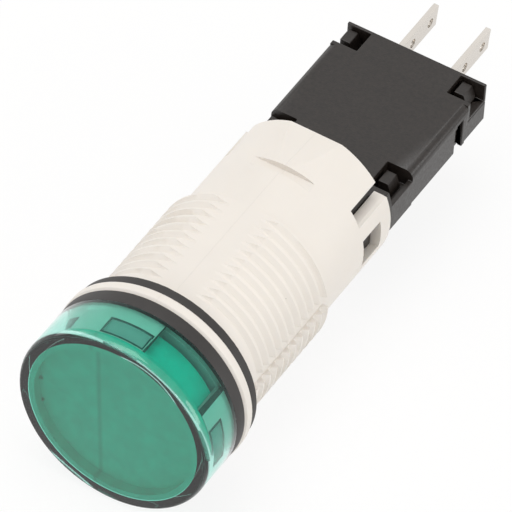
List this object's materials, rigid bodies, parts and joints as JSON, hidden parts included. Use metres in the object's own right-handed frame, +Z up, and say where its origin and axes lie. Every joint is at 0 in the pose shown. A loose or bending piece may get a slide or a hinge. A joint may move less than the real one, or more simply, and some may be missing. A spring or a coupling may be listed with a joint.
{
  "type": "panel pilot light",
  "caption": "Round panel pilot light with a green lens, a cream threaded barrel with latch arms, and a black snap-in lamp block with blade terminals.",
  "frame": {"origin": "on the lamp axis, in the rear face of the panel gasket, which presses on the front of the panel", "axes": "+Y along the lamp axis from the lens to the terminals, +Z up through the block cover, +X to the right seen from the front"},
  "size_m": [0.0178, 0.0548, 0.0178],
  "materials": {
    "green_lens": "clear green polycarbonate, glossy",
    "green_filter": "green translucent filter",
    "black_rubber": "black rubber",
    "cream_moulding": "cream white moulded plastic, satin",
    "black_moulding": "black moulded plastic with a fine texture",
    "tinned_brass": "tinned brass strip",
    "board_laminate": "green glass laminate",
    "lamp_resin": "pale green clear resin",
    "tinned_wire": "tinned wire",
    "white_moulding": "white moulded plastic",
    "resistor_coat": "pale blue lacquer with metal caps",
    "capacitor_sleeve": "dark blue sleeve",
    "rectifier_resin": "black moulding resin",
    "varistor_body": "grey ceramic with metal ends",
    "solder": "solder"
  },
  "bodies": {
    "root": {"lens_cap": "green_lens", "colour_filter": "green_filter", "lens_seal": "black_rubber", "panel_gasket": "black_rubber", "body_barrel": "cream_moulding", "lamp_cover": "black_moulding", "lamp_case": "black_moulding", "terminal_left": "tinned_brass", "terminal_right": "tinned_brass", "circuit_board": "board_laminate", "led_lamp": "lamp_resin", "led_lead_left": "tinned_wire", "led_lead_right": "tinned_wire", "lamp_guide": "white_moulding", "dropper_resistor_left": "resistor_coat", "dropper_resistor_right": "resistor_coat", "smoothing_capacitor": "capacitor_sleeve", "bridge_rectifier": "rectifier_resin", "surge_varistor": "varistor_body", "terminal_solder_left": "solder", "terminal_solder_right": "solder", "lead_solder_left": "solder", "lead_solder_right": "solder"}
  },
  "joints": []
}
